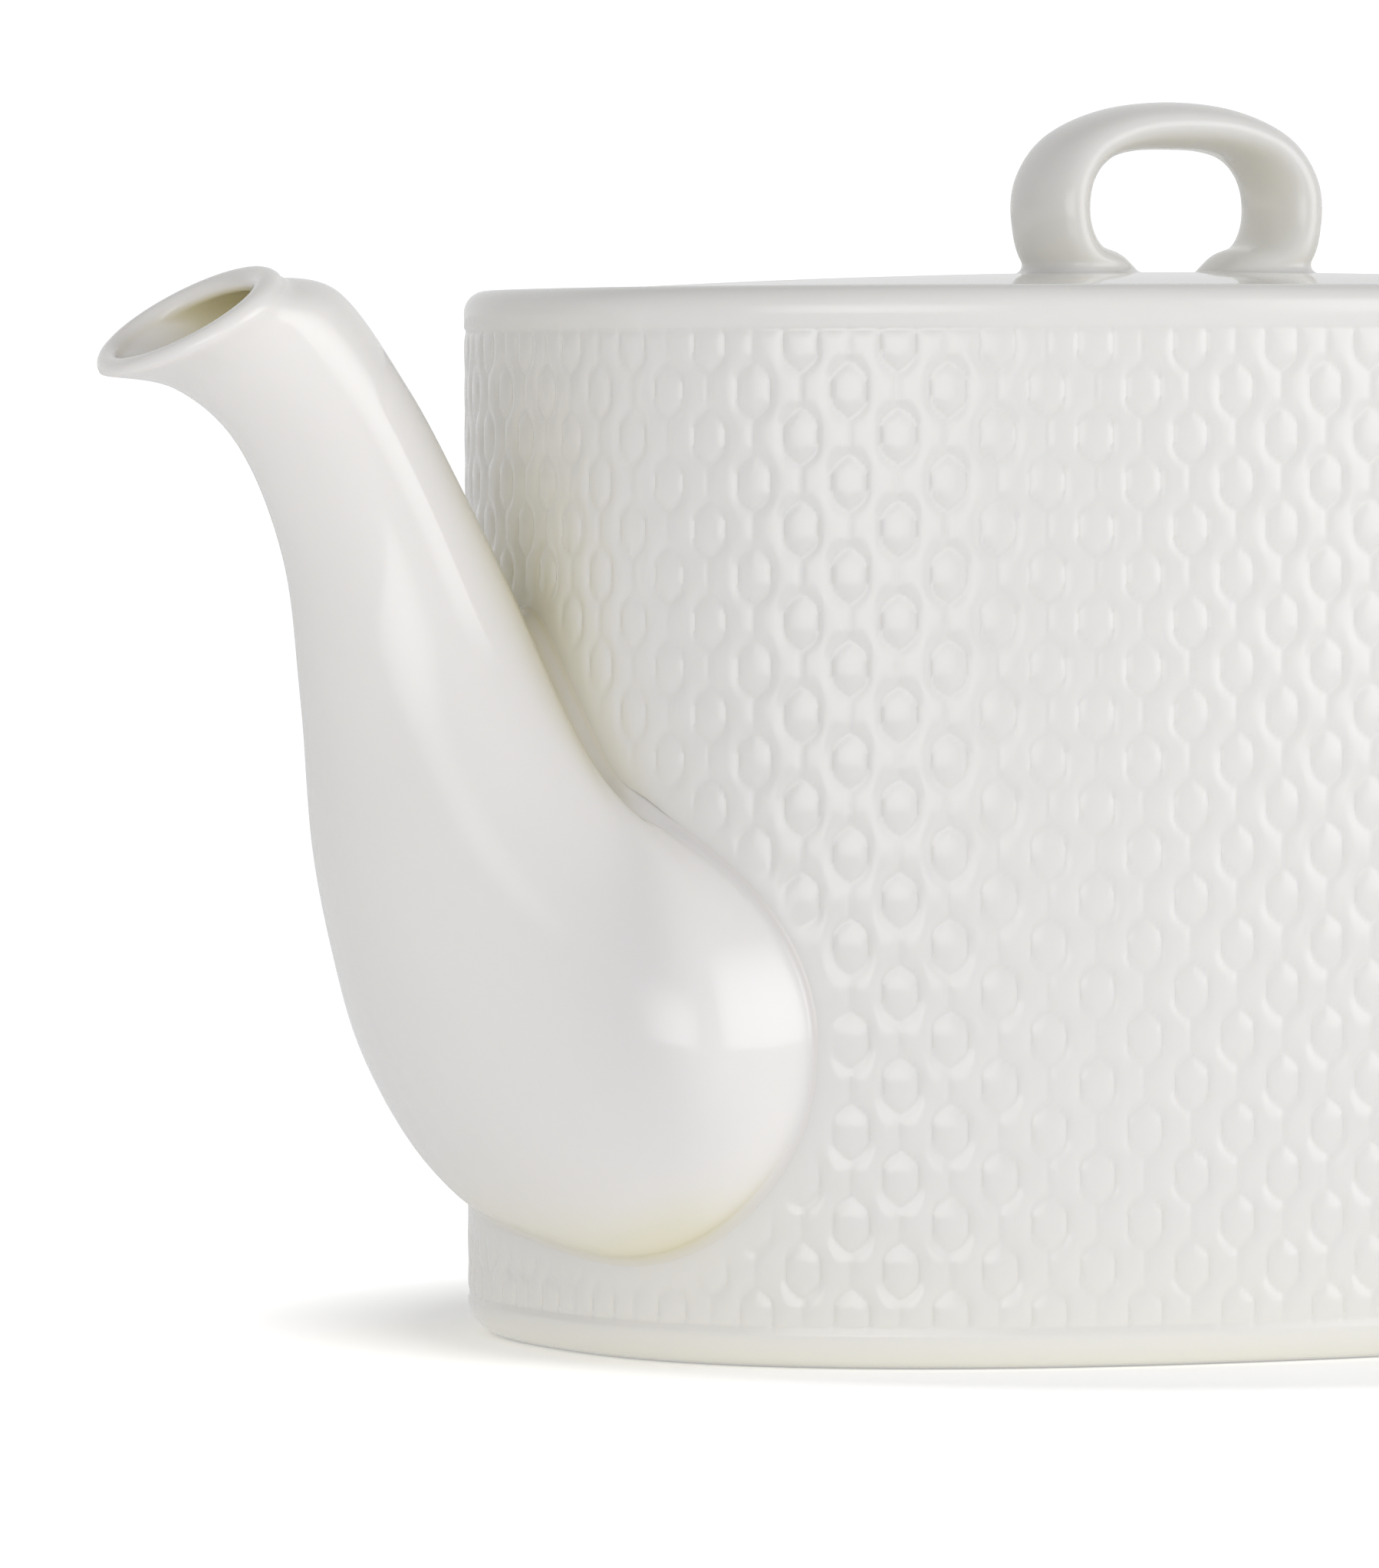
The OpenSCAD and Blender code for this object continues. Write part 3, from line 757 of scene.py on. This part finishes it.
def lug_form(sign):
    """Strip lug: a leaf on the collar that curls over and round the grip's wire."""
    hinge_x, hinge_z = abs(GRIP_LOW[0] + GRIP_HIGH[0]) / 2, GRIP_HIGH[2] - WIRE_R
    r, bend = 1.3, 0.8
    mid_leaf = abs(LUG_LOW[0]) - SHEET / 2
    top = hinge_z + r
    path = [(mid_leaf, LUG_LOW[2] + 0.1), (mid_leaf, LUG_LOW[2] + 2), (mid_leaf, top - 1.0)]
    path += [(mid_leaf - bend + bend * math.cos(a), top - bend + bend * math.sin(a))
             for a in np.radians([30, 60, 90])]
    path += [(hinge_x + r * math.sin(a), hinge_z + r * math.cos(a))
             for a in np.radians(np.arange(0, -301, -15))]
    path = np.array(path)
    tangent = np.gradient(path, axis=0)
    tangent /= np.linalg.norm(tangent, axis=1, keepdims=True)
    side = np.stack([tangent[:, 1], -tangent[:, 0]], -1)
    width = (LUG_HIGH[1] - LUG_LOW[1]) / 2
    outline = [(-1, -width + 0.15), (-0.7, -width), (0.7, -width), (1, -width + 0.15),
               (1, width - 0.15), (0.7, width), (-0.7, width), (-1, width - 0.15)]
    rings = []
    for p, s in zip(path, side):
        ring = []
        for across, y in outline:
            q = p + s * across * SHEET / 2
            ring.append((sign * q[0], y, q[1]))
        rings.append(ring[::-1] if sign < 0 else ring)
    return skin(rings)


# ---- materials --------------------------------------------------------------------

class Graph:
    """Small helper to write a node tree."""

    def __init__(self, tree):
        self.tree = tree

    def add(self, kind, **inputs):
        node = self.tree.nodes.new(kind)
        for key, value in inputs.items():
            if key in node.inputs:
                node.inputs[key].default_value = value
            else:
                setattr(node, key, value)
        return node

    def link(self, a, out, b, into):
        self.tree.links.new(a.outputs[out], b.inputs[into])

    def math(self, operation, *terms):
        """Sum or product of numbers and of (node, output) pairs, as such a pair."""
        node = self.add("ShaderNodeMath", operation=operation)
        for k, term in enumerate(terms):
            if isinstance(term, tuple):
                self.link(*term, node, k)
            else:
                node.inputs[k].default_value = term
        return node, 0

    def mapped(self, node, out, low, high, to_low, to_high, kind="LINEAR"):
        """Output of a node moved from one range to another."""
        ranged = self.add("ShaderNodeMapRange", interpolation_type=kind)
        for key, value in (("From Min", low), ("From Max", high), ("To Min", to_low), ("To Max", to_high)):
            ranged.inputs[key].default_value = value
        self.link(node, out, ranged, "Value")
        return ranged

    def blend(self, share, source, colour):
        """Colour output of a node blended towards a fixed colour."""
        mix = self.add("ShaderNodeMix", data_type="RGBA")
        self.link(share, "Result", mix, 0)
        self.link(*source, mix, 6)
        mix.inputs[7].default_value = (*colour, 1)
        return mix


class Nodes(Graph):
    """A new material and its node tree."""

    def __init__(self, name):
        self.material = bpy.data.materials.new(name)
        self.material.use_nodes = True
        super().__init__(self.material.node_tree)
        self.shader = self.tree.nodes["Principled BSDF"]

    def set(self, **inputs):
        for key, value in inputs.items():
            self.shader.inputs[key.replace("_", " ")].default_value = value


def china_material(name, colour, painted_shade_colour, painted_shade_from):
    """Bone china under a clear gloss glaze, with painted shade as a warmer, darker tint in its hollows and
    darker grooves in the emboss, bare and matt under the foot ring.
    """
    n = Nodes(name)
    n.set(IOR=1.5, Subsurface_Weight=0.15, Subsurface_Scale=0.004, Coat_Weight=0.3, Coat_Roughness=0.03)
    n.shader.inputs["Subsurface Radius"].default_value = (1.0, 0.85, 0.55)
    place_node = n.add("ShaderNodeNewGeometry")
    tone = n.add("ShaderNodeTexNoise", Scale=28.0, Detail=3.0)
    n.link(place_node, "Position", tone, "Vector")
    cloud = n.add("ShaderNodeValToRGB")
    for stop, position, change in zip(cloud.color_ramp.elements, (0.3, 0.7), (-0.008, 0.008)):
        stop.position = position
        stop.color = (*[c + change for c in colour], 1)
    n.link(tone, "Fac", cloud, "Fac")
    # Painted shade: where ambient occlusion finds a hollow, the colour is blended toward a warm darker tint
    # that stands in for shade and for light bounced between china surfaces.
    open_sky = n.add("ShaderNodeAmbientOcclusion", samples=6, Distance=0.03)
    hollow = n.mapped(open_sky, "AO", painted_shade_from, 0.1, 0.0, 1.0)
    # Painted shade: the grooves, found by their pointiness, are painted ten percent darker.
    groove_shade_mask = n.mapped(place_node, "Pointiness", 0.49, 0.42, 0.0, 1.0)
    groove_shaded = n.blend(groove_shade_mask, (cloud, "Color"), [c * 0.9 for c in colour])
    shaded_tone = n.blend(hollow, (groove_shaded, 2), painted_shade_colour)
    split = n.add("ShaderNodeSeparateXYZ")
    n.link(place_node, "Position", split, "Vector")
    bare = n.mapped(split, "Z", 0.00035, 0.00015, 0.0, 1.0)
    n.link(n.blend(bare, (shaded_tone, 2), (0.78, 0.77, 0.74)), 2, n.shader, "Base Color")
    n.link(n.mapped(bare, "Result", 0.0, 1.0, 0.07, 0.6), "Result", n.shader, "Roughness")
    wave = n.add("ShaderNodeTexNoise", Scale=160.0, Detail=2.0)
    n.link(place_node, "Position", wave, "Vector")
    bump = n.add("ShaderNodeBump", Strength=0.02, Distance=0.0004)
    n.link(wave, "Fac", bump, "Height")
    n.link(bump, "Normal", n.shader, "Normal")
    return n.material


def steel_material(name, colour, roughness, grain):
    """Stainless steel with drawn grain running round the part."""
    n = Nodes(name)
    n.set(Metallic=1.0, Roughness=roughness, Base_Color=(*colour, 1))
    place_node = n.add("ShaderNodeNewGeometry")
    stretch = n.add("ShaderNodeMapping")
    stretch.inputs["Scale"].default_value = (60.0, 60.0, 2600.0)
    n.link(place_node, "Position", stretch, "Vector")
    lines = n.add("ShaderNodeTexNoise", Scale=1.0, Detail=4.0)
    n.link(stretch, "Vector", lines, "Vector")
    rough = n.mapped(lines, "Fac", 0.0, 1.0, roughness * 0.75, roughness * 1.35)
    n.link(rough, "Result", n.shader, "Roughness")
    tone = n.add("ShaderNodeValToRGB")
    for stop, share in zip(tone.color_ramp.elements, (0.9, 1.06)):
        stop.color = (*[c * share for c in colour], 1)
    n.link(lines, "Fac", tone, "Fac")
    n.link(tone, "Color", n.shader, "Base Color")
    bump = n.add("ShaderNodeBump", Strength=grain, Distance=0.0001)
    n.link(lines, "Fac", bump, "Height")
    n.link(bump, "Normal", n.shader, "Normal")
    return n.material


# ---- build the teapot -----------------------------------------------------------------

# The spout's copy of the china is painted whiter, standing in for the extra light that falls on it. Both
# copies get a painted warm shade in their hollows, deepest and yellowest inside the spout.
china = china_material("bone_china_glaze", (0.862, 0.848, 0.832), (0.88, 0.865, 0.78), 0.8)
spout_lit_china = china_material("spout_lit_bone_china_glaze", (0.95, 0.922, 0.895), (0.87, 0.8, 0.5), 0.6)
sheet_steel = steel_material("satin_stainless", (0.72, 0.71, 0.69), 0.24, 0.08)
wire_steel = steel_material("drawn_stainless", (0.78, 0.77, 0.75), 0.16, 0.04)


def build_pot():
    form, spout_foot = spout_form()
    # The spout wears the copy of the china painted whiter for the light it catches.
    make_piece("spout_shell", *form, "pot", "spout", "bone_china", spout_lit_china)
    form, upper, lower = bridge_form(HANDLE_STATIONS, PotWall(), HANDLE_FILLET, 72, 130)
    make_piece("handle_loop", *form, "pot", "handle", "bone_china", china)
    form = pot_form([spout_foot, upper, lower])
    shell = make_piece("pot_shell", *form, "pot", "pot_body", "bone_china", china)
    strainer = [(WALL / 2 - HALF_LENGTH, STRAINER_PITCH * column,
                 STRAINER_Z + STRAINER_PITCH * (level + abs(column) % 2 / 2))
                for column in range(-2, 3) for level in (-1, 0, 1)]
    drill(shell, strainer, 0, STRAINER_R, 5)


def build_lid():
    plate = make_piece("lid_plate", *lid_form(), "lid_body", "lid", "bone_china", china)
    drill(plate, [(VENT_X, 0, LID_TOP - 2)], 2, VENT_R, 6)
    loop, _, _ = bridge_form(KNOB_STATIONS, LidTop(), KNOB_FILLET, 56, 100)
    make_piece("lid_knob_loop", *loop, "lid_body", "lid_knob", "bone_china", china)


def sheet_piece(name, form, node, smooth=True):
    """One fixed piece of the infuser, in satin sheet steel."""
    make_piece(name, *form, "infuser", node, "stainless_sheet", sheet_steel, smooth)


def inside_out(form):
    """The same form with every face turned over."""
    return form[0], [f[::-1] for f in form[1]]


def build_infuser():
    top, low = COLLAR_HIGH[2], COLLAR_LOW[2]
    flange = SHELF_Z
    profile = ([(LID_EDGE + 0.1, flange + 0.1), (COLLAR_OUT - 0.5, flange),
                (COLLAR_OUT - 0.1, flange - 0.15), (COLLAR_OUT, flange - 0.5)]
               + [(COLLAR_OUT, low + 0.3), (COLLAR_OUT + 0.15, low), (COLLAR_IN - 0.15, low),
                  (COLLAR_IN, low + 0.3), (COLLAR_IN, top - 1.0), (COLLAR_IN - 0.12, top - 0.45),
                  (COLLAR_IN - 0.5, top - 0.1), (COLLAR_IN - 0.9, top)]
               + [(LID_EDGE + 0.4, top), (LID_EDGE + 0.12, top - 0.12), (LID_EDGE, top - 0.4)])
    band = inside_out(plan_skin(profile[::-1], PLAN_STEPS, loop=True))
    sheet_piece("infuser_collar_band", band, "infuser_collar")
    wall = perforated_wall(RING_LOW[2] + SHEET + 0.05, BASKET_TOP, RING_HIGH[2] + 1.2, low - 1.5)
    sheet_piece("infuser_wall_sheet", wall, "infuser_wall", smooth=False)
    floor = perforated_floor(HALF_LENGTH - BASE_HIGH[0], BASE_LOW[2])
    sheet_piece("infuser_floor_sheet", floor, "infuser_base", smooth=False)
    out = HALF_LENGTH - RING_HIGH[0]
    z0, z1 = RING_LOW[2], RING_HIGH[2]
    ring = [(out + 0.45, z1), (out + 0.1, z1 - 0.1), (out, z1 - 0.35), (out, z0 + 0.6),
            (out + 0.18, z0 + 0.18), (out + 0.6, z0), (out + 3.4, z0), (out + 3.6, z0 + 0.15),
            (out + 3.65, z0 + 0.4), (out + 3.4, z0 + SHEET), (out + 0.5, z0 + SHEET),
            (out + 0.45, z0 + SHEET + 0.1)]
    sheet_piece("infuser_base_hoop", plan_skin(ring, PLAN_STEPS, loop=True), "infuser_base_ring")
    for sign, side in ((-1, "spout"), (1, "handle")):
        sheet_piece(side + "_lug_strip", lug_form(sign), side + "_side_lug")
        make_piece(side + "_grip_wire", *grip_form(sign), side + "_grip_body", side + "_side_grip",
                   "stainless_wire", wire_steel)


def build_seam():
    """Welded cover strip down the basket wall, at the handle end."""
    lean = BASKET_TAPER / (BASKET_TOP - RING_LOW[2])
    rings = []
    for z in np.linspace(SEAM_LOW[2], SEAM_HIGH[2], 25):
        x = HALF_LENGTH - BASKET_INSET - lean * (BASKET_TOP - z)
        ring = []
        for y, out in ((-3, 0.06), (3, 0.06), (3, 0.4), (2.6, 0.62), (-2.6, 0.62), (-3, 0.4)):
            bend = (abs(y) / (HALF_WIDTH - 12)) ** PLAN_POWER
            ring.append((x * (1 - bend) ** (1 / PLAN_POWER) + out, y, z))
        rings.append(ring)
    strip = inside_out(skin(np.array(rings)[:, ::-1]))
    sheet_piece("infuser_seam_strip", strip, "infuser_seam", smooth=False)


build_pot()
build_lid()
build_infuser()
build_seam()


# ---- stage, light and camera -----------------------------------------------------------

SIDE_LIGHT, TOP_LIGHT = 0.54, 0.38       # brightness of the room at the horizon and overhead
LIGHT_LEAN = (-0.1, -0.38, 0.0)          # share by which it grows towards the front
BACK_WAY, BACK_LIGHT = (0.48, 0.88, 0.0), 0.45     # way to the white paper, and what it adds
FLOOR_GLOW = 0.2                         # light thrown back up by the paper
FLOOR_WHITE, PAINTED_SHADOW_WHITE = 2.35, 1.42     # how white the camera sees the paper far off, and how dark it is painted by the foot as a contact shadow
SHADE_FROM, SHADE_TO = 0.076, 0.102      # the ring over which the painted contact shadow fades out
SEEN_WHITE = 1.1                         # brightness of the room where the camera sees it


def build_stage():
    mesh = bpy.data.meshes.new("floor")
    size = 40.0
    corners = [(-size, -size, 0), (size, -size, 0), (size, size, 0), (-size, size, 0)]
    mesh.from_pydata(corners, [], [(0, 1, 2, 3)])
    floor = bpy.data.objects.new("floor", mesh)
    bpy.context.scene.collection.objects.link(floor)
    n = Nodes("floor_white")
    n.set(Base_Color=(0.93, 0.93, 0.93, 1), Roughness=0.6, Emission_Color=(1, 1, 1, 1),
          Emission_Strength=FLOOR_GLOW)
    seen = n.add("ShaderNodeBsdfDiffuse")
    place_node = n.add("ShaderNodeNewGeometry")
    reach = n.add("ShaderNodeVectorMath", operation="LENGTH")
    n.link(place_node, "Position", reach, 0)
    # Camera rays see the paper darkened within a ring by the foot: a painted contact shadow over the real
    # one.
    white = n.mapped(reach, "Value", SHADE_FROM, SHADE_TO, PAINTED_SHADOW_WHITE, FLOOR_WHITE)
    n.link(white, "Result", seen, "Color")
    path = n.add("ShaderNodeLightPath")
    either = n.add("ShaderNodeMixShader")
    n.link(path, "Is Camera Ray", either, 0)
    n.link(n.shader, 0, either, 1)
    n.link(seen, 0, either, 2)
    n.link(either, 0, n.tree.nodes["Material Output"], 0)
    floor.data.materials.append(n.material)


def soften_edges(data):
    """Lets a soft box fade out towards its edges, as a real one does, at the same total power."""
    data.use_nodes = True
    g = Graph(data.node_tree)
    split = g.add("ShaderNodeSeparateXYZ")
    g.link(g.add("ShaderNodeNewGeometry"), "Parametric", split, 0)
    humps = [g.math("MULTIPLY", (split, axis), g.math("SUBTRACT", 1.0, (split, axis))) for axis in ("X", "Y")]
    level = g.math("MULTIPLY", g.math("MULTIPLY", *humps), 36.0)      # the mean of u(1 - u) is one sixth
    g.link(*level, g.tree.nodes["Emission"], "Strength")


def area_light(name, place_at, target, size, power):
    data = bpy.data.lights.new(name, "AREA")
    data.shape = "RECTANGLE"
    data.size, data.size_y = size
    data.energy = power
    soften_edges(data)
    lamp = bpy.data.objects.new(name, data)
    lamp.location = place_at
    lamp.rotation_mode = "QUATERNION"
    lamp.rotation_quaternion = (Vector(target) - Vector(place_at)).to_track_quat("-Z", "Y")
    bpy.context.scene.collection.objects.link(lamp)


def build_light():
    """White room, dimmer above and to the rear, with white paper behind the pot and two soft boxes."""
    world = bpy.data.worlds.new("studio")
    bpy.context.scene.world = world
    world.use_nodes = True
    g = Graph(world.node_tree)
    shade = g.tree.nodes["Background"]
    shade.inputs["Color"].default_value = (1, 1, 1, 1)
    way = g.add("ShaderNodeTexCoord")
    split = g.add("ShaderNodeSeparateXYZ")
    g.link(way, "Generated", split, 0)
    rise = g.mapped(split, "Z", 0.0, 0.9, SIDE_LIGHT, TOP_LIGHT, "SMOOTHSTEP")
    dots = []
    for direction in (LIGHT_LEAN, BACK_WAY):
        dots.append(g.add("ShaderNodeVectorMath", operation="DOT_PRODUCT"))
        g.link(way, "Generated", dots[-1], 0)
        dots[-1].inputs[1].default_value = direction
    back = g.mapped(dots[1], "Value", 0.4, 0.95, 0.0, BACK_LIGHT, "SMOOTHSTEP")
    leaned = g.math("MULTIPLY_ADD", (dots[0], "Value"), (rise, "Result"), (rise, "Result"))
    seen = g.add("ShaderNodeMix")
    g.link(g.add("ShaderNodeLightPath"), "Is Camera Ray", seen, "Factor")
    g.link(*g.math("ADD", leaned, (back, "Result")), seen, "A")
    seen.inputs["B"].default_value = SEEN_WHITE
    g.link(seen, "Result", shade, "Strength")
    area_light("key", (1.0, -1.1, 0.4), (0, 0, 0.06), (1.6, 1.6), 7.2)
    area_light("fill", (-0.9, -0.95, 0.15), (0, 0, 0.04), (1.6, 0.8), 3.0)


def build_camera():
    """Camera on the spout side of the front, level with the upper third of the pot."""
    azimuth, distance, height = 0.5, 1.152, 0.0929
    yaw, pitch, roll = -0.0421, -0.0331, -0.0037
    ahead = Vector((math.sin(azimuth), math.cos(azimuth), 0))
    right = Vector((math.cos(azimuth), -math.sin(azimuth), 0))
    up = Vector((0, 0, 1))
    turned = ahead * math.cos(yaw) + right * math.sin(yaw)
    side = right * math.cos(yaw) - ahead * math.sin(yaw)
    look = turned * math.cos(pitch) + up * math.sin(pitch)
    over = up * math.cos(pitch) - turned * math.sin(pitch)
    x_axis = side * math.cos(roll) + over * math.sin(roll)
    y_axis = over * math.cos(roll) - side * math.sin(roll)
    data = bpy.data.cameras.new("camera")
    data.lens = 260.9
    data.sensor_width = 36
    data.clip_end = 50
    camera = bpy.data.objects.new("camera", data)
    bpy.context.scene.collection.objects.link(camera)
    turn = Matrix((x_axis, y_axis, -look)).transposed()
    camera.matrix_world = Matrix.Translation(-ahead * distance + up * height) @ turn.to_4x4()
    bpy.context.scene.camera = camera


build_stage()
build_light()
build_camera()
bpy.context.scene.view_settings.view_transform = "Standard"
